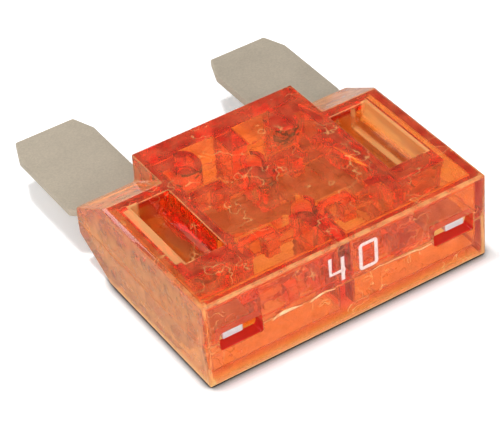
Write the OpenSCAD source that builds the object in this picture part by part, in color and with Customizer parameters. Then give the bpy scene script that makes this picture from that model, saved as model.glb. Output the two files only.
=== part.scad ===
// Large blade fuse lying on its broad face: two identical see-through half shells moulded with
// side pockets, posts and ribs, closed over one stamped fuse element with two plug-in blades.
// X runs across the blades, Y runs from the test end to the blade tips, Z is up.

/* [Housing] */
// Width of the housing at the parting plane
body_w = 29.0; // [28.6:0.1:31]
// Length of the housing from the front face to the blade end
body_l = 21.3; // [20.6:0.1:23]
// Thickness of the closed housing
body_t = 8.9; // [8.4:0.1:10]
// Width of the full-thickness block between the blades
block_w = 16.9; // [16.4:0.1:17.6]
// Length of the sloping nose in front of each blade
nose_l = 5.2; // [4.8:0.1:5.6]
// Thickness left at the very end of the nose
nose_t = 2.9; // [2.6:0.1:3.6]
// How far each flank leans in from the parting plane to the broad face
flank_draft = 0.15; // [0:0.05:0.3]
// Radius of the upright corners at the front
corner_r = 0.5; // [0.2:0.1:1]
// Radius of the long edges round the broad face
edge_r = 0.35; // [0.1:0.05:0.6]

/* [Walls] */
// Wall of the broad face
top_wall = 1.0; // [0.7:0.05:1.2]
// Wall of the front face
front_wall = 1.3; // [1:0.05:1.6]
// Outer wall of each flank
side_wall = 0.8; // [0.7:0.05:0.95]
// Wall of the block at the blade end
end_wall = 1.5; // [1:0.05:1.8]
// Side walls of the block, which are also the inner walls of the pockets
block_wall = 1.0; // [0.8:0.05:1.2]
// Wall of the sloping nose
nose_wall = 1.0; // [0.7:0.05:1.2]

/* [Side pockets] */
// Distance from the front face to the pockets
pocket_start = 5.8; // [5.4:0.1:6.2]
// Width of the flat land between a pocket and the flank
land_w = 2.2; // [2:0.05:2.4]
// Height of the upright sides of each pocket, above its round bottom
pocket_side_h = 0.3; // [0.1:0.05:0.6]
// Wall round each pocket
pocket_wall = 0.9; // [0.7:0.05:1]
// Solid plastic in front of each pocket
pocket_near_wall = 1.5; // [1:0.1:1.8]
// Wall between each pocket and the nose
pocket_far_wall = 1.1; // [0.8:0.1:1.5]

/* [Posts and ribs] */
// Width of the outer posts
post_w = 1.9; // [1.6:0.05:2.1]
// Width of the two posts on the centre line
centre_post_w = 2.2; // [1.8:0.05:2.4]
// Length of each post along the housing
post_l = 4.3; // [3.9:0.1:4.5]
// How far the outer posts stand in from the faces of the block
post_inset = 0.4; // [0.2:0.05:0.6]
// Distance from the front face to the middle of the far row of posts
far_row_y = 13.7; // [13.4:0.1:14]
// Thickness of the cross ribs that join each row of posts
rib_t = 0.8; // [0.6:0.05:1.2]
// How far the cross ribs hang down from the broad wall
rib_drop = 2.05; // [1.6:0.05:2.2]
// Width of the two vents in each cross rib
vent_w = 1.9; // [1.5:0.1:2.1]
// Height of the vents
vent_h = 0.8; // [0.5:0.1:1]
// Half the distance between the two vents of a rib
vent_x = 3.9; // [3.7:0.1:4.1]
// How far both vents are shifted to the right
vent_shift = 1.0; // [0.6:0.1:1.1]
// Width of the lug on the left of each vent
lug_w = 1.3; // [0.8:0.1:1.4]
// Length of that lug towards the front
lug_l = 1.3; // [0.9:0.1:1.5]
// Thickness of the web from the front wall to the first centre post
web_t = 1.2; // [0.8:0.1:1.6]
// Half the width of the two bosses near the blade end
boss_r = 1.4; // [1.2:0.05:1.45]
// Length of those bosses along the housing
boss_l = 3.6; // [3:0.1:3.8]
// Clearance between each boss and the blade beside it
boss_gap = 0.2; // [0.1:0.05:0.5]
// Distance from the blade end to the bosses
boss_back = 3.3; // [3:0.1:3.4]
// Width of the centre rib behind the end wall
end_rib_w = 1.7; // [1.2:0.1:2]
// Length of the centre rib behind the end wall
end_rib_l = 2.9; // [2:0.1:3.2]
// Radius of the welding pins on the posts
pin_r = 0.6; // [0.5:0.05:0.65]
// Length of the welding pins
pin_l = 1.2; // [0.8:0.1:1.6]

/* [Front face] */
// Width of each test slot
slot_w = 4.2; // [3.6:0.1:4.3]
// Height of each test slot
slot_t = 1.9; // [1.5:0.1:2.2]
// Distance from the flank to each test slot
slot_inset = 1.5; // [1.4:0.1:1.7]

/* [Fuse element] */
// Length from the front face to the blade tips
overall_l = 34.3; // [32:0.1:37]
// How far each blade stands out past the flank beside it
blade_proud = 0.1; // [0:0.05:0.4]
// Width of each blade
blade_w = 7.9; // [7.7:0.1:8]
// Thickness of the strip
blade_t = 0.8; // [0.6:0.05:1]
// Width of the corner taper at each blade tip
tip_taper_w = 0.9; // [0.5:0.1:1.4]
// Length of the corner taper at each blade tip
tip_taper_l = 2.4; // [1.5:0.1:3]
// How far each blade steps in at its outer edge to enter the housing
neck_step = 1.1; // [0.9:0.05:1.2]
// Length of bare blade between the housing and that step
step_back = 0.3; // [0.2:0.1:0.8]
// Distance from the front face to the near end of the plates
plate_start = 8.3; // [8.2:0.1:8.6]
// Clearance between the strip that carries each test tab and the post beside it
carrier_gap = 0.1; // [0.1:0.05:0.4]
// Distance from the front face to the near end of that strip
carrier_start = 2.3; // [2:0.1:3]
// Width of each test tab
tab_w = 2.0; // [1.6:0.1:2.4]
// Depth of each test tab behind the front face
tab_recess = 0.6; // [0.3:0.1:1]
// Distance from the outer end of a slot to its test tab
tab_inset = 0.6; // [0.4:0.1:0.9]

/* [Fusible link] */
// Thickness of the link, coined thinner than the blades
link_t = 0.5; // [0.3:0.05:0.6]
// Distance from the front face to the near edge of the link at the left plate
link_near_left = 11.0; // [10.6:0.1:11.2]
// Distance from the front face to the near edge of the link at the right plate
link_near_right = 9.4; // [9:0.1:9.8]
// Distance from the front face to the far edge of the link
link_far = 15.3; // [14.9:0.1:15.7]
// Width of the neck that melts
neck_w = 0.9; // [0.6:0.05:1]
// Radius of the dip that forms the neck from its near side
dip_r = 1.0; // [0.6:0.05:1.2]
// Clearance between the link and the post behind its neck
notch_gap = 0.25; // [0.15:0.05:0.4]
// Width of the slot that parts the link from each plate
relief_w = 0.5; // [0.4:0.05:0.7]
// Length of that slot
relief_l = 2.8; // [2:0.1:3]

/* [Fits] */
// Clearance round the fuse element in the shells
fit_gap = 0.05; // [0.03:0.01:0.1]
// Gap between the mating faces of the shells
seam_gap = 0.04; // [0.02:0.01:0.08]
// Clearance round the welding pins
pin_gap = 0.05; // [0.03:0.01:0.1]

/* [Hidden] */
$fn = 48;

half_t = body_t / 2;
ceiling_z = half_t - top_wall;
in_wall_z = half_t - top_wall / 2;
shoulder_y = body_l - nose_l;
seat_z = blade_t / 2 + fit_gap;
cut = 1;
arc_steps = 6;

pocket_in_x = block_w / 2;
pocket_out_x = body_w / 2 - land_w;
pocket_x = (pocket_in_x + pocket_out_x) / 2;
pocket_r = (pocket_out_x - pocket_in_x) / 2;
pocket_end = shoulder_y - pocket_far_wall;
pocket_axis_z = half_t - pocket_side_h;

near_row_y = pocket_start;
post_x = block_w / 2 - post_inset;
rib_bottom_z = ceiling_z - rib_drop;
chamber_w = block_w - 2 * block_wall;
hollow_out_x = body_w / 2 - side_wall;
front_chamber_end = pocket_start - pocket_near_wall;
chamber_end = body_l - end_wall;
boss_y = body_l - boss_back;

blade_out = body_w / 2 + blade_proud;
blade_in = blade_out - blade_w;
boss_x = blade_in - boss_gap - boss_r;
plate_out = blade_out - neck_step;
slot_out = body_w / 2 - slot_inset;
tab_out = slot_out - tab_inset;
carrier_out = slot_out - fit_gap;
carrier_in = post_x + post_w / 2 + carrier_gap;
link_overlap = 0.2;
joint = 0.1;
step_l = neck_step;

// Points of an arc round [x, y] from angle a to angle b
function arc(x, y, r, a, b) =
    [for (i = [0:arc_steps]) let (t = a + (b - a) * i / arc_steps) [x + r * cos(t), y + r * sin(t)]];

// Box from one corner to the other
module block(from, to) {
    translate(from) cube(to - from);
}

// Bar along Y with round ends, centred on [x, y], from height a to height b
module post(x, y, w, l, a, b) {
    r = w / 2;
    straight = l / 2 - r;
    block([x - r, y - straight, a], [x + r, y + straight, b]);
    for (end = [-straight, straight])
        translate([x, y + end, a]) cylinder(r = r, h = b - a);
}

// Extrudes an outline drawn in Y and Z across the width w
module across(w) {
    translate([-w / 2, 0, 0]) rotate([90, 0, 90]) linear_extrude(w) children();
}

// Extrudes an outline drawn in X and Z along the length l
module along(l) {
    translate([0, l, 0]) rotate([90, 0, 0]) linear_extrude(l) children();
}

// Plan outline with rounded front corners
module plan_outline() {
    x = body_w / 2;
    polygon(concat(
        arc(-x + corner_r, corner_r, corner_r, 180, 270),
        arc(x - corner_r, corner_r, corner_r, 270, 360),
        [[x, body_l], [-x, body_l]]));
}

// Section across the housing: leaning flanks and rounded upper edges
module flank_outline() {
    x = body_w / 2;
    top_x = x - flank_draft;
    polygon(concat(
        [[-x, 0], [x, 0]],
        arc(top_x - edge_r, half_t - edge_r, edge_r, 0, 90),
        arc(-top_x + edge_r, half_t - edge_r, edge_r, 90, 180)));
}

// Section along the housing through a flank: rounded front edge and sloping nose
module nose_outline() {
    polygon(concat(
        [[0, 0]],
        arc(edge_r, half_t - edge_r, edge_r, 180, 90),
        [[shoulder_y, half_t], [body_l, nose_t / 2], [body_l, 0]]));
}

// Section along the housing through the full-thickness block
module block_outline() {
    polygon(concat(
        [[0, 0]],
        arc(edge_r, half_t - edge_r, edge_r, 180, 90),
        [[body_l, half_t], [body_l, 0]]));
}

// Outside of one half of the housing, open to the seam
module half_body() {
    intersection() {
        translate([0, 0, seam_gap / 2]) linear_extrude(half_t) plan_outline();
        along(body_l + cut) flank_outline();
        union() {
            across(body_w + cut) nose_outline();
            across(block_w) block_outline();
        }
    }
}

// Hollow of the block and of the front, under the broad wall
module chamber() {
    block([-hollow_out_x, front_wall, -cut], [hollow_out_x, front_chamber_end, ceiling_z]);
    block([-chamber_w / 2, front_wall, -cut], [chamber_w / 2, chamber_end, ceiling_z]);
}

// Trough along Y with a round bottom, of radius r, from y = a to y = b
module trough(r, a, b) {
    translate([pocket_x, b, pocket_axis_z]) rotate([90, 0, 0]) cylinder(r = r, h = b - a);
    block([pocket_x - r, a, pocket_axis_z], [pocket_x + r, b, half_t + cut]);
}

// Hollow of a flank round the wall of its pocket
module flank_hollow() {
    difference() {
        block([pocket_in_x, front_chamber_end - joint, -cut],
              [hollow_out_x, shoulder_y + joint, ceiling_z]);
        trough(pocket_r + pocket_wall, front_chamber_end, shoulder_y + cut);
        block([pocket_in_x - cut, front_chamber_end, seat_z],
              [pocket_out_x + pocket_wall / 2, pocket_start, half_t]);
    }
}

// Hollow under the sloping nose, open to the plate below
module nose_hollow() {
    slope = (half_t - nose_t / 2) / nose_l;
    drop = nose_wall * sqrt(1 + slope * slope);
    near = shoulder_y;
    far = body_l - nose_wall;
    top_near = half_t - drop;
    top_far = half_t - (far - shoulder_y) * slope - drop;
    width = hollow_out_x - pocket_in_x;
    translate([pocket_in_x + width / 2, 0, 0])
        across(width) polygon([[near, 0], [far, 0], [far, top_far], [near, top_near]]);
}

// Space for the fuse element on one side, up to the seat height
module element_space() {
    block([blade_in - fit_gap, plate_start - fit_gap, -cut], [plate_out + fit_gap, body_l + cut, seat_z]);
    block([carrier_in - fit_gap, carrier_start, -cut], [carrier_out + fit_gap, plate_start, seat_z]);
    block([slot_out - slot_w, -cut, -cut], [slot_out, front_wall + cut, slot_t / 2]);
}

// Posts that reach down to the seam, and posts that end on the plates
module posts() {
    for (y = [near_row_y, far_row_y])
        post(0, y, centre_post_w, post_l, seam_gap / 2, in_wall_z);
    for (x = [-post_x, post_x]) {
        post(x, near_row_y, post_w, post_l, seam_gap / 2, in_wall_z);
        post(x, far_row_y, post_w, post_l, seat_z, in_wall_z);
    }
    for (side = [0, 1]) mirror([side, 0, 0]) {
        block([post_x - post_w / 2, near_row_y - post_l / 2, seam_gap / 2],
              [post_x + post_w / 2, near_row_y, in_wall_z]);
        post(boss_x, boss_y, 2 * boss_r, boss_l, seam_gap / 2, in_wall_z);
        block([boss_x, boss_y, seam_gap / 2],
              [block_w / 2 - block_wall / 2, body_l - end_wall / 2, in_wall_z]);
    }
    block([-centre_post_w / 2, near_row_y - post_l / 2, seam_gap / 2],
          [centre_post_w / 2, near_row_y, in_wall_z]);
}

// Cross ribs with one vent each side, the web and the centre rib
module ribs() {
    for (y = [near_row_y, far_row_y])
        difference() {
            block([-block_w / 2, y - rib_t / 2, rib_bottom_z], [block_w / 2, y + rib_t / 2, in_wall_z]);
            for (x = [vent_shift - vent_x, vent_shift + vent_x])
                block([x - vent_w / 2, y - rib_t, ceiling_z - vent_h],
                      [x + vent_w / 2, y + rib_t, ceiling_z]);
        }
    for (y = [near_row_y, far_row_y], x = [vent_shift - vent_x, vent_shift + vent_x])
        block([x - vent_w / 2 - lug_w, y - lug_l, rib_bottom_z], [x - vent_w / 2, y, in_wall_z]);
    block([-web_t / 2, front_wall / 2, seam_gap / 2], [web_t / 2, near_row_y, in_wall_z]);
    block([-end_rib_w / 2, chamber_end - end_rib_l, seam_gap / 2],
          [end_rib_w / 2, body_l - end_wall / 2, in_wall_z]);
}

// Places of the welding pins: on one side of the centre line the pins, on the other their sockets
module at_pins(side) {
    translate([side * post_x, near_row_y, 0]) children();
    translate([side * boss_x, boss_y, 0]) children();
}

module half_shell() {
    difference() {
        union() {
            difference() {
                half_body();
                chamber();
                for (side = [0, 1]) mirror([side, 0, 0]) {
                    flank_hollow();
                    nose_hollow();
                }
            }
            posts();
            ribs();
        }
        for (side = [0, 1]) mirror([side, 0, 0]) {
            trough(pocket_r, pocket_start, pocket_end);
            element_space();
        }
        at_pins(-1) translate([0, 0, -cut]) cylinder(r = pin_r + pin_gap, h = pin_l + pin_gap + cut);
    }
    at_pins(1) translate([0, 0, -pin_l]) cylinder(r = pin_r, h = pin_l + seam_gap);
}

// Outline of one blade with its plate, carrier strip and test tab
module strip_outline() {
    polygon([
        [blade_in, plate_start],
        [carrier_in, plate_start],
        [carrier_in, carrier_start],
        [tab_out - tab_w, carrier_start],
        [tab_out - tab_w, tab_recess],
        [tab_out, tab_recess],
        [tab_out, carrier_start],
        [carrier_out, carrier_start],
        [carrier_out, plate_start],
        [plate_out, plate_start],
        [plate_out, body_l + step_back],
        [blade_out, body_l + step_back + step_l],
        [blade_out, overall_l - tip_taper_l],
        [blade_out - tip_taper_w, overall_l],
        [blade_in + tip_taper_w, overall_l],
        [blade_in, overall_l - tip_taper_l]]);
}

// Thin link between the plates, with its neck on the centre line
module link() {
    end_x = blade_in + link_overlap;
    notch_x = centre_post_w / 2 + notch_gap;
    neck_far = far_row_y - post_l / 2 - notch_gap;
    difference() {
        translate([0, 0, -link_t / 2]) linear_extrude(link_t) polygon([
            [-end_x, link_near_left], [end_x, link_near_right], [end_x, link_far], [-end_x, link_far]]);
        block([-notch_x, neck_far, -cut], [notch_x, link_far + cut, cut]);
        translate([0, neck_far - neck_w - dip_r, -cut]) cylinder(r = dip_r, h = 2 * cut);
        for (x = [-blade_in + 2 * relief_w, blade_in - 2 * relief_w])
            post(x, link_far - relief_w - relief_l / 2, relief_w, relief_l, -cut, cut);
    }
}

// Moves a piece from the front face and the parting plane to the resting frame
module in_frame() {
    translate([0, -overall_l / 2, half_t]) children();
}

module upper_shell() {
    color("orangered") in_frame() half_shell();
}

module lower_shell() {
    color("tomato") in_frame() rotate([0, 180, 0]) half_shell();
}

module fuse_element() {
    color("darkgray") in_frame() {
        for (side = [0, 1]) mirror([side, 0, 0])
            translate([0, 0, -blade_t / 2]) linear_extrude(blade_t) strip_outline();
        link();
    }
}

upper_shell();
lower_shell();
fuse_element();
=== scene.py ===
"""Looks of a large blade fuse: see-through orange housing, stamped zinc strip, printed rating."""

import math

import bmesh
import bpy
from mathutils import Matrix, Vector


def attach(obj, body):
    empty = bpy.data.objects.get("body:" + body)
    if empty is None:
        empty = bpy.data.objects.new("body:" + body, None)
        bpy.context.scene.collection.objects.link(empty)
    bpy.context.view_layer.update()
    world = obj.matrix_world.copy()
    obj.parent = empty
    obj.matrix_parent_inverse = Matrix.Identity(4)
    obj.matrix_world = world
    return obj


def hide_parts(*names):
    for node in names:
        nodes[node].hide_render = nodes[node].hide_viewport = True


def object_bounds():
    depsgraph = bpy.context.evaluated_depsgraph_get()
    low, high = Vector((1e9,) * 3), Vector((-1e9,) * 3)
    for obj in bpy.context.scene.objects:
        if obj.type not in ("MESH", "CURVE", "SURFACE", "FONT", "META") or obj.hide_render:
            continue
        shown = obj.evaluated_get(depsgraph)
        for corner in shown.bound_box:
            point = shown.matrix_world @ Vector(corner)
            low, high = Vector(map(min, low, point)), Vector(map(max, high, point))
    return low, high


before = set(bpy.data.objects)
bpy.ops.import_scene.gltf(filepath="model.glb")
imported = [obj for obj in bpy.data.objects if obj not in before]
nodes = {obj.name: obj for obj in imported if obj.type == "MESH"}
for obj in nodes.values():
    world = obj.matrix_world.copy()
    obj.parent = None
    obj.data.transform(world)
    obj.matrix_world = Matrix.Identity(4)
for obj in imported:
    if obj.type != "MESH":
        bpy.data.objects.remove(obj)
cad_low, cad_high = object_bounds()

# Lengths below are in mm, and places on the fuse are measured from its centre line, front face and seam
MM = 0.001
front_y = cad_low.y
seam_z = (cad_low.z + cad_high.z) / 2
half_width = (cad_high.x - cad_low.x) / 2
half_height = (cad_high.z - cad_low.z) / 2


class Wire:
    """An output socket whose arithmetic adds Math nodes to its tree."""

    def __init__(self, tree, socket):
        self.tree = tree
        self.socket = socket

    def output(self, name):
        """Another output of the same node."""
        return Wire(self.tree, self.socket.node.outputs[name])

    def math(self, operation, *others):
        return node(self.tree, "Math", {"operation": operation}, dict(enumerate((self, *others))))

    def __add__(self, other):
        return self.math("ADD", other)

    __radd__ = __add__

    def __mul__(self, other):
        return self.math("MULTIPLY", other)

    __rmul__ = __mul__

    def __sub__(self, other):
        return self.math("SUBTRACT", other)

    def __rsub__(self, other):
        return node(self.tree, "Math", {"operation": "SUBTRACT"}, {0: other, 1: self})

    def __abs__(self):
        return self.math("ABSOLUTE")

    def __gt__(self, other):
        return self.math("GREATER_THAN", other)

    def __lt__(self, other):
        return self.math("LESS_THAN", other)


def node(tree, kind, settings=None, sockets=None, output=0):
    """Adds a shader node: its settings first, then the values or links of its sockets."""
    made = tree.nodes.new("ShaderNode" + kind)
    for name, value in (settings or {}).items():
        if name == "stops":
            ramp_stops(made.color_ramp, value)
        else:
            setattr(made, name, value)
    for name, value in (sockets or {}).items():
        if isinstance(value, Wire):
            tree.links.new(value.socket, made.inputs[name])
        else:
            made.inputs[name].default_value = value
    return Wire(tree, made.outputs[output])


def ramp_stops(ramp, stops):
    while len(ramp.elements) < len(stops):
        ramp.elements.new(1)
    for element, (place, colour) in zip(ramp.elements, stops):
        element.position = place
        element.color = (*colour, 1)


def ramp(share, *stops):
    """Colours by a share, from stops that are each a place and a colour."""
    return node(share.tree, "ValToRGB", {"stops": stops}, {"Fac": share})


def blend(share, colour, over):
    """Lays a fixed colour over another by a share."""
    return node(share.tree, "Mix", {"data_type": "RGBA"}, {0: share, 6: colour, 7: (*over, 1)}, output=2)


def fade(value, start, end, first=0.0, last=1.0):
    """Turns softly from the first share to the last while a value goes from start to end."""
    return node(value.tree, "MapRange", {"interpolation_type": "SMOOTHSTEP"}, {
        "Value": value, "From Min": start, "From Max": end, "To Min": first, "To Max": last})


def rise(value, start, end):
    """Goes evenly from nought to one while a value goes from start to end."""
    return node(value.tree, "MapRange", sockets={"Value": value, "From Min": start, "From Max": end})


def largest(first, *others):
    """The largest of several values at each point."""
    for other in others:
        first = first.math("MAXIMUM", other)
    return first


def noise(place, scale, detail=2.0):
    return node(place.tree, "TexNoise", sockets={"Vector": place, "Scale": scale, "Detail": detail})


def stretched(place, scale):
    return node(place.tree, "Mapping", sockets={"Vector": place, "Scale": scale})


def bump(height, strength, distance):
    return node(height.tree, "Bump", sockets={"Height": height, "Strength": strength, "Distance": distance})


def axes_of(place):
    """The three coordinates of a place."""
    parts = node(place.tree, "SeparateXYZ", sockets={"Vector": place})
    return [parts.output(axis) for axis in "XYZ"]


def ray_kinds(tree):
    """One for rays from the camera, for mirrored rays and for rays that passed through the plastic."""
    path = node(tree, "LightPath")
    return [path.output(f"Is {kind} Ray") for kind in ("Camera", "Glossy", "Transmission")]


def blank(name):
    """A new material with an empty tree, and the place of a point on the object in that tree."""
    material = bpy.data.materials.new(name)
    material.use_nodes = True
    tree = material.node_tree
    tree.nodes.clear()
    return material, node(tree, "TexCoord").output("Object")


def finish_with(surface, volume=None, kind="Material"):
    """Ends a tree with its surface and, where it has one, its volume."""
    end = surface.tree.nodes.new("ShaderNodeOutput" + kind)
    surface.tree.links.new(surface.socket, end.inputs["Surface"])
    if volume is not None:
        surface.tree.links.new(volume.socket, end.inputs["Volume"])


# Outer faces count to this depth, and the nose falls away past this distance by this slope
SKIN = 0.25
SLOPE_START = 16.1
SLOPE_FALL = 0.577


def inside_the_walls(x, y, z):
    """One where a surface lies inside the housing, nought on its outer faces."""
    fall = (y - (front_y + SLOPE_START * MM)).math("MAXIMUM", 0.0) * SLOPE_FALL
    within_width = abs(x) < half_width - SKIN * MM
    past_front = y > front_y + SKIN * MM
    below_top = abs(z - seam_z) < half_height - SKIN * MM - fall
    return within_width * past_front * below_top


# Round troughs that open upwards and downwards in the flanks: axis, radius, ends and allowances
TROUGH_X = 10.375
TROUGH_HEIGHT = 4.15
TROUGH_R = 1.925
TROUGH_START, TROUGH_END = 5.8, 15.0
TROUGH_ALLOWANCE = 0.3
TROUGH_END_ALLOWANCE = 0.2


def in_a_trough(x, y, z):
    """One on the walls of the round troughs."""
    aside = abs(x) - TROUGH_X * MM
    above = abs(z - seam_z) - TROUGH_HEIGHT * MM
    reach = (TROUGH_R + TROUGH_ALLOWANCE) * MM
    near_axis = aside * aside + above * above < reach * reach
    beyond = y > front_y + (TROUGH_START - TROUGH_END_ALLOWANCE) * MM
    before = y < front_y + (TROUGH_END + TROUGH_END_ALLOWANCE) * MM
    return near_axis * beyond * before


# Long streaks along the housing, by which the painted highlight bands and land band vary
STREAK_SCALE = 900
STREAK_STRETCH = 0.04
STREAK_RANGE = (0.35, 0.6)


def uneven_along(place, least):
    """Varies from the least share to one in long streaks along the housing."""
    along = stretched(place, (1.0, STREAK_STRETCH, 1.0))
    return fade(noise(along, STREAK_SCALE), *STREAK_RANGE, least)


# Painted highlight bands on the trough walls: share of the way out across the trough, and strength
RIGHT_BANDS = ((0.0, 0.1), (0.56, 0.1), (0.61, 0.85), (0.69, 0.85), (0.74, 0.1), (0.86, 0.1), (0.91, 1.0))
LEFT_BANDS = ((0.0, 0.1), (0.76, 0.1), (0.84, 1.0), (1.0, 1.0))
LEAST_TROUGH_STREAK = 0.5


def trough_bands(place, x):
    """Soft painted highlight bands that run along each trough, close to its outer wall."""
    across = (abs(x) - TROUGH_X * MM) * (0.5 / (TROUGH_R * MM)) + 0.5
    right, left = (ramp(across, *((at, (level,) * 3) for at, level in bands))
                   for bands in (RIGHT_BANDS, LEFT_BANDS))
    on_left = x < 0.0
    return (left * on_left + right * (1 - on_left)) * uneven_along(place, LEAST_TROUGH_STREAK)


# Painted highlight band on the land between the left trough and its flank
LAND_BAND_X = 12.85
LAND_BAND_HALF = 0.42
LAND_BAND_CORE = 0.6
LAND_BAND_FADE = 0.4
LEAST_LAND_STREAK = 0.75


def land_band(place, x, y):
    """A broad painted highlight band on the land outside the left trough, standing in for light that its
    wall carries up.
    """
    half_length = (TROUGH_END - TROUGH_START) / 2
    within = fade(abs(x + LAND_BAND_X * MM),
                  LAND_BAND_HALF * LAND_BAND_CORE * MM, LAND_BAND_HALF * MM, 1.0, 0.0)
    from_middle = abs(y - (front_y + (TROUGH_START + half_length) * MM))
    along = fade(from_middle, (half_length - LAND_BAND_FADE) * MM, half_length * MM, 1.0, 0.0)
    return within * along * uneven_along(place, LEAST_LAND_STREAK)


# Painted upright highlight lines at the front corners
CORNER_WIDTH = 1.0
CORNER_LENGTH = 1.6
CORNER_FADE = 0.3
CORNER_SCALE = 1300
CORNER_STRETCH = 0.2
CORNER_RANGE = (0.42, 0.6)
LEAST_CORNER = 0.3


def bright_corners(place, x, y):
    """Wavy upright painted highlight lines where the front turns into the flanks."""
    start = half_width - CORNER_WIDTH * MM
    aside = fade(abs(x), start, start + CORNER_FADE * MM)
    forward = fade(y, front_y + CORNER_LENGTH * MM, front_y + CORNER_FADE * MM)
    upright = stretched(place, (1.0, 1.0, CORNER_STRETCH))
    return aside * forward * fade(noise(upright, CORNER_SCALE, 3.0), *CORNER_RANGE, LEAST_CORNER)


# Painted curling highlight lines in the plastic, standing in for caustics
WISP_SCALE = 520
WISP_WIDTH = 0.02
WISP_PATCH_SCALE = 230
WISP_PATCH_RANGE = (0.48, 0.58)


def caustic_lines(place):
    """Thin curling lines, in patches: painted highlights that stand in for caustics in the plastic."""
    line = fade(abs(noise(place, WISP_SCALE) - 0.5), 0.0, WISP_WIDTH, 1.0, 0.0)
    return line * fade(noise(place, WISP_PATCH_SCALE, 1.0), *WISP_PATCH_RANGE)


# Small round specks in the plastic
SPECK_SCALE = 900
SPECK_SIZE = 0.1
SPECK_RARITY = 0.78


def specks(place):
    """Small round drops, in the few cells where chance puts one."""
    cell = node(place.tree, "TexVoronoi", sockets={"Vector": place, "Scale": SPECK_SCALE})
    chance = node(place.tree, "RGBToBW", sockets={"Color": cell.output("Color")})
    return fade(cell, 0.0, SPECK_SIZE, 1.0, 0.0) * (chance > SPECK_RARITY)


# Openings of the front face
SLOT_X = 10.9
SLOT_HALF_W = 2.1
SLOT_HALF_T = 0.95
SLOT_DEPTH = 2.6
SLOT_ALLOWANCE = 0.05
SLOT_LIP = 0.1


def in_a_slot(x, y, z):
    """One on the walls of the two openings in the front face, where dark red shade is painted."""
    within_width = abs(abs(x) - SLOT_X * MM) < (SLOT_HALF_W + SLOT_ALLOWANCE) * MM
    within_height = abs(z - seam_z) < (SLOT_HALF_T + SLOT_ALLOWANCE) * MM
    within_depth = (y < front_y + SLOT_DEPTH * MM) * (y > front_y + SLOT_LIP * MM)
    return within_width * within_height * within_depth


# Half the width of the block between the noses, and how near to it its sides count
BLOCK_SIDE = 8.45
BLOCK_ALLOWANCE = 0.1


def sides_painted_paler(x, y, inside):
    """One on the flanks, on the sloping noses and on both sides of the block between them, where paler
    light is painted on.
    """
    flank = abs(x) > half_width - SKIN * MM
    at_the_nose = y > front_y + SLOPE_START * MM
    slope = (abs(x) > (BLOCK_SIDE + BLOCK_ALLOWANCE) * MM) * (1 - inside)
    block_side = abs(x).math("COMPARE", BLOCK_SIDE * MM, BLOCK_ALLOWANCE * MM)
    return largest(flank, at_the_nose * largest(slope, block_side))


# Painted shade on the lower rim: where it ends, where it starts to fade and what lies flat on the table
FOOT_HEIGHT = 1.1
FOOT_FULL = 0.1
FOOT_BASE = 0.02


def painted_foot_shade(z):
    """Rises to one at the lower rim of the sides, where the housing stands on the table and its shade is
    painted.
    """
    lift = z - cad_low.z
    return fade(lift, FOOT_FULL * MM, FOOT_HEIGHT * MM, 1.0, 0.0) * (lift > FOOT_BASE * MM)


# Unevenness of the moulded faces: noise scales, and depths in mm
FLOW_SCALE, FLOW_DEPTH = 260, 0.0125
FINE_SCALE, FINE_DEPTH = 2000, 0.003
RIPPLE_SCALE, RIPPLE_DEPTH = 700, 0.04
SPECK_HEIGHT = 0.02


def moulded_face(place, inside, drops):
    """Slow waves, a fine skin and drops, with deeper ripples on the faces inside the housing."""
    height = (noise(place, FLOW_SCALE) * FLOW_DEPTH + drops * SPECK_HEIGHT
              + noise(place, FINE_SCALE) * FINE_DEPTH
              + noise(place, RIPPLE_SCALE) * inside * RIPPLE_DEPTH)
    return bump(height, 1.0, MM)


# Shares of painted highlight on rounded edges, outside and inside, and on each kind of mark (on the specks
# a painted glint over their real bumps), and how unevenly the edge highlight is painted
EDGE_MARK = "rounded_edge"
EDGE_SHINE = 0.6
INNER_EDGE_SHINE = 0.7
EDGE_UNEVENNESS = 0.4
EDGE_UNEVEN_SCALE = 900
EDGE_UNEVEN_RANGE = (0.38, 0.62)
SPECK_SHINE = 0.6
CORNER_SHINE = 0.65
WISP_SHINE = 0.5
LAND_BAND_SHINE = 0.7
TROUGH_SHINE = 0.7


def painted_highlights(place, x, y, z, inside, drops):
    """How much painted highlight lies on the rounded edges, the specks, the front corners, the curling
    lines, the land band and the troughs.
    """
    # The edge highlight is painted in, made uneven by noise
    highlight_unevenness = rise(noise(place, EDGE_UNEVEN_SCALE, 3.0), *EDGE_UNEVEN_RANGE)
    edge = node(place.tree, "Attribute", {"attribute_name": EDGE_MARK}).output("Fac")
    edge = edge * (EDGE_SHINE * (1 - inside) + INNER_EDGE_SHINE * inside)
    edge = edge * (1 - EDGE_UNEVENNESS + highlight_unevenness * EDGE_UNEVENNESS)
    return largest(
        edge,
        drops * SPECK_SHINE,
        bright_corners(place, x, y) * (1 - inside) * CORNER_SHINE,
        caustic_lines(place) * WISP_SHINE,
        land_band(place, x, y) * (1 - inside) * LAND_BAND_SHINE,
        in_a_trough(x, y, z) * trough_bands(place, x) * TROUGH_SHINE)


# Shares of light that the plain faces scatter, and how much clouds change them; then the painted paler
# light on the sides, the painted shade at the foot and the painted dark red shade in the openings
HAZE_OUTSIDE = 0.2
HAZE_INSIDE = 0.06
CLOUDS = 0.5
CLOUD_SCALE = 700
CLOUD_RANGE = (0.35, 0.65)
SIDE_PAINTED_LIGHT = 0.16
FOOT_PAINTED_SHADE = 0.5
SLOT_PAINTED_SHADE = 0.75


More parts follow.
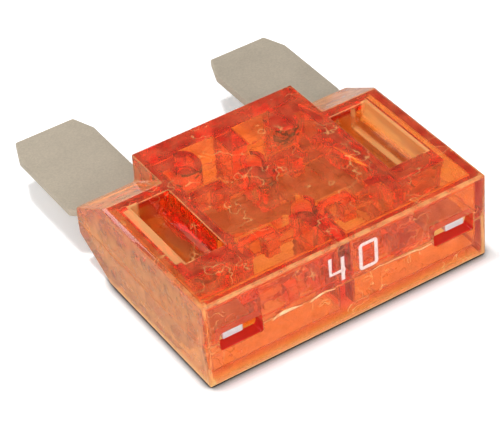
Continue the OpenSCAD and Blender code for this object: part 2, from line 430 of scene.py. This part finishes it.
def cloudy_haze(place, z, inside, pale, slot):
    """How much light the faces scatter away from their painted highlights, with painted light on the sides,
    painted shade at the foot and in the openings.
    """
    clouds = rise(noise(place, CLOUD_SCALE, 3.0), *CLOUD_RANGE)
    haze = HAZE_OUTSIDE + (HAZE_INSIDE - HAZE_OUTSIDE) * inside
    haze = haze * (1 - CLOUDS + clouds * (2 * CLOUDS))
    return haze + pale * SIDE_PAINTED_LIGHT + painted_foot_shade(z) * (1 - inside) * FOOT_PAINTED_SHADE + slot * SLOT_PAINTED_SHADE


# What the plastic takes off a ray for each metre inside it, in red, green and blue
ABSORPTION = (3.0, 600.0, 1600.0)
PLASTIC_IOR = 1.5
PLASTIC_GLOSS = 0.02
HAZE_GLOSS = 0.35
# Colours of the scattered light, and the share of it from which the edge colour holds; the edge colour is a
# painted highlight, the pale colour painted light on the sides and the slot red painted shade
HAZE_COLOUR = (1.0, 0.22, 0.07)
EDGE_COLOUR = (1.0, 0.52, 0.18)
FULL_EDGE_COLOUR = 0.5
PALE_COLOUR = (1.0, 0.5, 0.17)
SLOT_SHADE_RED = (0.8, 0.022, 0.025)


def orange_absorption(tree):
    """Takes blue and some green out of the light along its way through the plastic."""
    density = max(ABSORPTION) * 1.05
    colour = [1 - taken / density for taken in ABSORPTION]
    return node(tree, "VolumeAbsorption", sockets={"Color": (*colour, 1), "Density": density})


def see_through_orange():
    """Clear tinted plastic, moulded glossy, with painted highlights on its edges and in it, painted paler
    sides and painted shade at its foot and in its openings.
    """
    material, place = blank("see_through_orange")
    x, y, z = axes_of(place)
    inside = inside_the_walls(x, y, z)
    slot = in_a_slot(x, y, z)
    pale = sides_painted_paler(x, y, inside)
    drops = specks(place)
    face = moulded_face(place, inside, drops)
    highlights = painted_highlights(place, x, y, z, inside, drops)
    tone = ramp(highlights, (0.0, HAZE_COLOUR), (FULL_EDGE_COLOUR, EDGE_COLOUR))
    # Painted light on the sides and painted dark red shade in the openings are laid over the colour
    tone = blend(slot, blend(pale, tone, PALE_COLOUR), SLOT_SHADE_RED)
    clear = node(place.tree, "BsdfPrincipled", sockets={
        "Base Color": (1, 1, 1, 1), "Roughness": PLASTIC_GLOSS, "IOR": PLASTIC_IOR,
        "Transmission Weight": 1.0, "Normal": face})
    scattering = node(place.tree, "BsdfPrincipled", sockets={
        "Base Color": tone, "Roughness": HAZE_GLOSS, "Normal": face})
    share = largest(highlights, cloudy_haze(place, z, inside, pale, slot))
    surface = node(place.tree, "MixShader", sockets={0: share, 1: clear, 2: scattering})
    finish_with(surface, orange_absorption(place.tree))
    return material


# Zinc: grain and cloud scales, how much the grain tells, and tones from dark to light
GRAIN_SCALE = 5500
ZINC_CLOUD_SCALE = 350
GRAIN_SHARE = 0.55
DARK_ZINC = (0.67, 0.58, 0.455)
LIGHT_ZINC = (0.81, 0.71, 0.565)
GRAIN_DEPTH = 0.04
# The strip's ends near the front carry a painted highlight, near white
HIGHLIGHT_END = 2.2
HIGHLIGHT_ZINC = (0.95, 0.95, 0.95)


def stamped_zinc():
    """Dull warm grey zinc with a fine grain, faint cloudy patches and a painted highlight at its front
    ends.
    """
    material, place = blank("stamped_zinc")
    grain = noise(place, GRAIN_SCALE)
    clouds = noise(place, ZINC_CLOUD_SCALE, 3.0)
    mottle = clouds * (1 - GRAIN_SHARE) + grain * GRAIN_SHARE
    tone = ramp(mottle, (0.3, DARK_ZINC), (0.7, LIGHT_ZINC))
    y = axes_of(place)[1]
    finish_with(node(place.tree, "BsdfPrincipled", sockets={
        "Base Color": blend(y < front_y + HIGHLIGHT_END * MM, tone, HIGHLIGHT_ZINC),
        "Metallic": 0.75,
        "Roughness": 0.5 + clouds * 0.15,
        "Normal": bump(grain, 0.25, GRAIN_DEPTH * MM)}))
    return material


# Ink and flash: speckle scales, tones from dark to light and depth
INK_SCALE = 5200
DARK_INK = (0.84, 0.56, 0.50)
LIGHT_INK = (0.93, 0.76, 0.72)
FLASH_SCALE = 2600
FLASH_ORANGE = (0.95, 0.36, 0.12)
FLASH_HIGHLIGHT_CREAM = (0.95, 0.68, 0.38)
FLASH_LUMP_SCALE = 3000
FLASH_LUMP_DEPTH = 0.03


def rating_ink():
    """Thin pinkish white pad print, a little uneven."""
    material, place = blank("rating_ink")
    tone = ramp(noise(place, INK_SCALE), (0.3, DARK_INK), (0.65, LIGHT_INK))
    finish_with(node(place.tree, "BsdfPrincipled", sockets={"Base Color": tone, "Roughness": 0.5}))
    return material


def pale_flash():
    """Plastic squeezed out of the weld, its cream tone a painted highlight along the seam."""
    material, place = blank("pale_flash")
    finish_with(node(place.tree, "BsdfPrincipled", sockets={
        "Base Color": ramp(noise(place, FLASH_SCALE), (0.35, FLASH_ORANGE), (0.6, FLASH_HIGHLIGHT_CREAM)),
        "Roughness": 0.3,
        "Normal": bump(noise(place, FLASH_LUMP_SCALE, 1.0), 0.5, FLASH_LUMP_DEPTH * MM)}))
    return material


# Welding of the CAD meshes: nearest points, and the turn under which faces are one
SAME_POINT = 0.0005
SAME_FACE_DEG = 0.5
# Rounding of edges: radii, the turn that counts as an edge and the shortest edges that are rounded
HOUSING_EDGE, LEAST_HOUSING_EDGE = 0.12, 0.2
HOUSING_FILLET, LEAST_FILLET = 0.25, 1.2
STRIP_EDGE, LEAST_STRIP_EDGE = 0.10, 0.13
SHARP_TURN_DEG = 25
# Room that a rounding needs, in its own widths: mean width of a face, and length of an edge beside it
FACE_ROOM = 2.2
EDGE_ROOM = 1.2
# Rounded strips are narrower than this and turn by more than this
WIDEST_STRIP = 0.15
LEAST_TURN_DEG = 12
SMOOTH_TURN_DEG = 50


def merged_copy(source):
    """A welded copy of a CAD node's mesh, with its flat faces whole again."""
    bm = bmesh.new()
    bm.from_mesh(nodes[source].data)
    bmesh.ops.remove_doubles(bm, verts=bm.verts, dist=SAME_POINT * MM)
    bmesh.ops.dissolve_limit(bm, angle_limit=math.radians(SAME_FACE_DEG), verts=bm.verts,
                             edges=bm.edges, use_dissolve_boundaries=False, delimit=set())
    return bm


def has_room(edge, sharp, width):
    """Whether the faces and edges beside an edge are wide enough for its rounding."""
    for face in edge.link_faces:
        longest = max(side.calc_length() for side in face.edges)
        if face.calc_area() < FACE_ROOM * width * longest:
            return False
    beside = {other for vert in edge.verts for other in vert.link_edges} - sharp
    return all(other.calc_length() > EDGE_ROOM * width for other in beside)


def soften(bm, width_mm, shortest_mm, convex=True):
    """Rounds the outer edges, or the inner corners, that turn sharply and have room for it."""
    width = width_mm * MM
    sharp = {edge for edge in bm.edges if len(edge.link_faces) == 2 and edge.is_convex == convex
             and edge.calc_face_angle(0) > math.radians(SHARP_TURN_DEG)}
    roomy = [edge for edge in bm.edges if edge in sharp
             and edge.calc_length() > shortest_mm * MM and has_room(edge, sharp, width)]
    bmesh.ops.bevel(bm, geom=roomy, offset=width, offset_type="OFFSET", segments=3, profile=0.5,
                    affect="EDGES", clamp_overlap=False, material=-1)


def mark_rounded(bm):
    """Notes on each point whether it lies in the middle of a rounded edge."""
    mark = bm.verts.layers.float.new(EDGE_MARK)
    widest = WIDEST_STRIP * MM
    narrow = {face for face in bm.faces if 2 * face.calc_area() < widest * face.calc_perimeter()}
    for vert in bm.verts:
        turn = max(edge.calc_face_angle(0) for edge in vert.link_edges)
        rounded = turn > math.radians(LEAST_TURN_DEG) and narrow.issuperset(vert.link_faces)
        vert[mark] = 1.0 if rounded else 0.0


def add_object(bm, name, material):
    """Makes an object of a finished mesh."""
    mesh = bpy.data.meshes.new(name)
    bm.to_mesh(mesh)
    bm.free()
    mesh.materials.append(material)
    made = bpy.data.objects.new(name, mesh)
    bpy.context.scene.collection.objects.link(made)
    return made


def piece(bm, name, material):
    """Adds a piece of the fuse that rides on it."""
    made = add_object(bm, name, material)
    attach(made, "root")
    return made


def shade(made):
    """Smooth shading over small turns, with the broad faces kept flat."""
    made.data.shade_smooth()
    made.data.set_sharp_from_angle(angle=math.radians(SMOOTH_TURN_DEG))
    weighted = made.modifiers.new("flat_faces", "WEIGHTED_NORMAL")
    weighted.weight = 100
    weighted.keep_sharp = True


def housing_half(source, name, plastic):
    """One moulded half, with its edges and inner corners rounded."""
    shell = merged_copy(source)
    soften(shell, HOUSING_FILLET, LEAST_FILLET, convex=False)
    soften(shell, HOUSING_EDGE, LEAST_HOUSING_EDGE)
    mark_rounded(shell)
    moulded = piece(shell, name, plastic)
    shade(moulded)
    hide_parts(source)


def fuse_strip():
    """The stamped strip, with its edges rounded by the die."""
    strip = merged_copy("fuse_element")
    soften(strip, STRIP_EDGE, LEAST_STRIP_EDGE)
    stamped = piece(strip, "stamped_strip", stamped_zinc())
    shade(stamped)
    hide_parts("fuse_element")


# How far print and flash stand out of the front face, and half the width of a pen stroke
PRINT_DEPTH = 0.006
STROKE = 0.19
# Rating digits on the front face, as places across and up
FOUR_LEFT, FOUR_RIGHT = -1.92, -0.67
FOUR_TOP, FOUR_STEM_TOP, FOUR_BAR, FOUR_FOOT = 3.3, 2.95, 1.5, 0.42
FOUR_BAR_END = -0.42
ZERO_LOW, ZERO_HIGH = (1.17, 0.64), (2.76, 3.20)
ZERO_CORNER, ZERO_CORNER_STEPS = 0.22, 5
# Squeezed-out plastic along the seam of the front face: across, up and half the width at each point
FLASH_RUNS = (
    ((-7.95, -0.30, 0.05), (-7.3, -0.02, 0.16), (-6.7, 0.04, 0.22), (-6.0, 0.0, 0.15),
     (-5.3, -0.09, 0.07), (-4.8, -0.19, 0.03)),
    ((-4.2, -0.32, 0.04), (-3.6, -0.12, 0.10), (-3.1, 0.0, 0.13), (-2.5, 0.08, 0.10),
     (-1.5, -0.16, 0.03)),
    ((2.3, -0.08, 0.03), (3.0, 0.04, 0.05), (3.7, -0.1, 0.03), (4.6, -0.1, 0.03), (5.6, -0.2, 0.04),
     (6.5, -0.18, 0.07), (7.4, -0.36, 0.07), (8.2, -0.32, 0.05), (8.7, -0.26, 0.03)),
)


def new_curve(name, half_width_mm):
    """An empty curve that is drawn with a round pen."""
    curve = bpy.data.curves.new(name, "CURVE")
    curve.dimensions = "3D"
    curve.bevel_depth = half_width_mm * MM
    curve.bevel_resolution = 3
    curve.use_fill_caps = True
    return curve


def stroke(curve, points, closed=False):
    """Adds one pen stroke to a curve, its points given across and up the front face."""
    spline = curve.splines.new("POLY")
    spline.points.add(len(points) - 1)
    for point, (across, up) in zip(spline.points, points):
        point.co = (across * MM, 0, up * MM, 1)
    spline.use_cyclic_u = closed
    return spline


def round_box(low, high, radius, steps):
    """Points of a box with round corners."""
    left, right = low[0] + radius, high[0] - radius
    bottom, top = low[1] + radius, high[1] - radius
    points = []
    for across, up, start in ((right, top, 0), (left, top, 90), (left, bottom, 180), (right, bottom, 270)):
        for step in range(steps + 1):
            turn = math.radians(start + 90 * step / steps)
            points.append((across + radius * math.cos(turn), up + radius * math.sin(turn)))
    return points


def pressed_flat(curve, half_width_mm):
    """Turns pen strokes into a mesh and presses them on the front face."""
    drawn = bpy.data.objects.new(curve.name, curve)
    bpy.context.scene.collection.objects.link(drawn)
    evaluated = drawn.evaluated_get(bpy.context.evaluated_depsgraph_get())
    mesh = bpy.data.meshes.new_from_object(evaluated)
    bpy.data.objects.remove(drawn)
    bm = bmesh.new()
    bm.from_mesh(mesh)
    bpy.data.meshes.remove(mesh)
    flat = Matrix.Diagonal((1, PRINT_DEPTH / half_width_mm, 1, 1))
    to_face = Matrix.Translation((0, front_y, seam_z))
    bmesh.ops.transform(bm, matrix=to_face @ flat, verts=bm.verts)
    return bm


def rating_digits():
    """The number forty in pen strokes."""
    curve = new_curve("rating_strokes", STROKE)
    stroke(curve, [(FOUR_LEFT, FOUR_TOP), (FOUR_LEFT, FOUR_BAR), (FOUR_BAR_END, FOUR_BAR)])
    stroke(curve, [(FOUR_RIGHT, FOUR_STEM_TOP), (FOUR_RIGHT, FOUR_FOOT)])
    stroke(curve, round_box(ZERO_LOW, ZERO_HIGH, ZERO_CORNER, ZERO_CORNER_STEPS), closed=True)
    piece(pressed_flat(curve, STROKE), "rating_digits", rating_ink())


def weld_flash():
    """Thin squeezed-out plastic along the welded seam, wider in two places."""
    curve = new_curve("weld_flash", 1.0)
    for run in FLASH_RUNS:
        spline = stroke(curve, [(across, up) for across, up, width in run])
        for point, (across, up, width) in zip(spline.points, run):
            point.radius = width
    piece(pressed_flat(curve, 1.0), "weld_flash", pale_flash())


# Floor: its half size in m, its white, what it glows with, and its painted contact shadow, a thin dark line
# round the fuse
FLOOR_HALF = 3.0
FLOOR_WHITE = 0.92
FLOOR_GLOW = 0.3
FLOOR_GLOW_THROUGH = 0.45
FLOOR_MIRRORED = 0.6
CONTACT_REACH = 0.9
CONTACT_DARK = 0.35
# Studio: strengths of the walls and the ceiling, the heights between them, and what rays find of them
WALLS, CEILING = 0.85, 0.4
WALLS_END, CEILING_START = 0.25, 0.6
SKY_THROUGH = 1.3
ROOM_MIRRORED = 0.5


def white_paper():
    """White paper that keeps the shadow, with a painted contact shadow for the camera, a little brighter to
    the camera and through the plastic.
    """
    material, place = blank("floor_white")
    tree = place.tree
    camera, glossy, through = ray_kinds(tree)
    mirrored = glossy * (1 - through)
    # Painted contact shadow: an occlusion node darkens the floor seen by the camera close round the fuse
    air = node(tree, "AmbientOcclusion", {"samples": 8}, {"Distance": CONTACT_REACH * MM}).output("AO")
    kept = 1 - camera * (1 - rise(air, CONTACT_DARK, 1.0))
    white = FLOOR_WHITE * (1 - mirrored * (1 - FLOOR_MIRRORED)) * kept
    lit = node(tree, "BsdfDiffuse", sockets={"Color": white})
    glow = node(tree, "Emission", sockets={
        "Strength": camera * FLOOR_GLOW * kept + through * FLOOR_GLOW_THROUGH})
    finish_with(node(tree, "AddShader", sockets={0: lit, 1: glow}))
    return material


def lay_floor():
    bm = bmesh.new()
    bmesh.ops.create_grid(bm, x_segments=1, y_segments=1, size=FLOOR_HALF)
    floor = add_object(bm, "floor", white_paper())


def studio_world():
    """White walls under a dimmer ceiling. The camera and rays through the plastic find white."""
    world = bpy.data.worlds.new("studio")
    world.use_nodes = True
    tree = world.node_tree
    tree.nodes.clear()
    height = axes_of(node(tree, "TexCoord"))[2]
    room = fade(height, WALLS_END, CEILING_START, WALLS, CEILING)
    camera, glossy, through = ray_kinds(tree)
    room = room * (1 - glossy * (1 - ROOM_MIRRORED))
    seen = through * SKY_THROUGH + (1 - through) * room
    finish_with(node(tree, "Background", sockets={"Strength": largest(camera, seen)}), kind="World")
    return world


# Lamps: places and sizes in mm, and strengths in watts
SOFT_BOX = ((-120, -380, 260), 300, 1.1)
OVERHEAD = ((-60, 70, 600), 70, 1.9)
GLINT_SIZE = 200
GLINTS = {
    "front": ((155, -140, 340), 0.2),
    "side": ((-240, 270, 172), 0.1),
    "left": ((-380, -40, 110), 0.1),
    "right": ((380, 60, 110), 0.1),
    "back": ((60, 400, 120), 0.3),
}


def lamp(name, place_mm, size_mm, watts):
    """A square lamp that looks at the fuse."""
    data = bpy.data.lights.new(name, "AREA")
    data.energy = watts
    data.shape = "SQUARE"
    data.size = size_mm * MM
    made = bpy.data.objects.new(name, data)
    place = Vector(place_mm) * MM
    made.location = place
    made.rotation_euler = (-place).to_track_quat("-Z", "Y").to_euler()
    bpy.context.scene.collection.objects.link(made)
    return made


def hang_lamps():
    """A soft box, an overhead lamp for the narrow shadow, and lamps that only glint and shine through."""
    lamp("soft_box", *SOFT_BOX)
    overhead = lamp("key", *OVERHEAD)
    overhead.visible_transmission = False
    overhead.visible_glossy = False
    for side, (place, watts) in GLINTS.items():
        glint = lamp("glint_" + side, place, GLINT_SIZE, watts)
        glint.visible_diffuse = False


# The photograph's width and its camera, fitted to the edges of the fuse
PHOTO_WIDTH_PX = 500
FOCAL_PX = 2249.9
SENSOR_MM = 36
CAMERA_PLACE = (-78.226, -137.951, 128.550)
CAMERA_AIM = (-0.886, -2.745, 3.100)
CAMERA_ROLL_DEG = -5.007


def place_camera():
    """Sets up the photograph's own view."""
    data = bpy.data.cameras.new("camera")
    data.sensor_width = SENSOR_MM
    data.lens = FOCAL_PX / PHOTO_WIDTH_PX * SENSOR_MM
    camera = bpy.data.objects.new("camera", data)
    toward = (Vector(CAMERA_AIM) - Vector(CAMERA_PLACE)).to_track_quat("-Z", "Y").to_matrix()
    turned = toward @ Matrix.Rotation(math.radians(CAMERA_ROLL_DEG), 3, "Z")
    camera.matrix_world = Matrix.Translation(Vector(CAMERA_PLACE) * MM) @ turned.to_4x4()
    bpy.context.scene.collection.objects.link(camera)
    bpy.context.scene.camera = camera


# Bounces that a ray may take through the plastic
BOUNCES = 32
TRANSPARENT_BOUNCES = 16


def set_view():
    """Plain colours, and enough bounces for light to cross the walls inside the housing."""
    scene = bpy.context.scene
    scene.view_settings.view_transform = "Standard"
    scene.cycles.max_bounces = BOUNCES
    scene.cycles.transmission_bounces = BOUNCES
    scene.cycles.glossy_bounces = BOUNCES
    scene.cycles.transparent_max_bounces = TRANSPARENT_BOUNCES


orange = see_through_orange()
housing_half("upper_shell", "upper_housing", orange)
housing_half("lower_shell", "lower_housing", orange)
fuse_strip()
rating_digits()
weld_flash()
lay_floor()
bpy.context.scene.world = studio_world()
hang_lamps()
place_camera()
set_view()
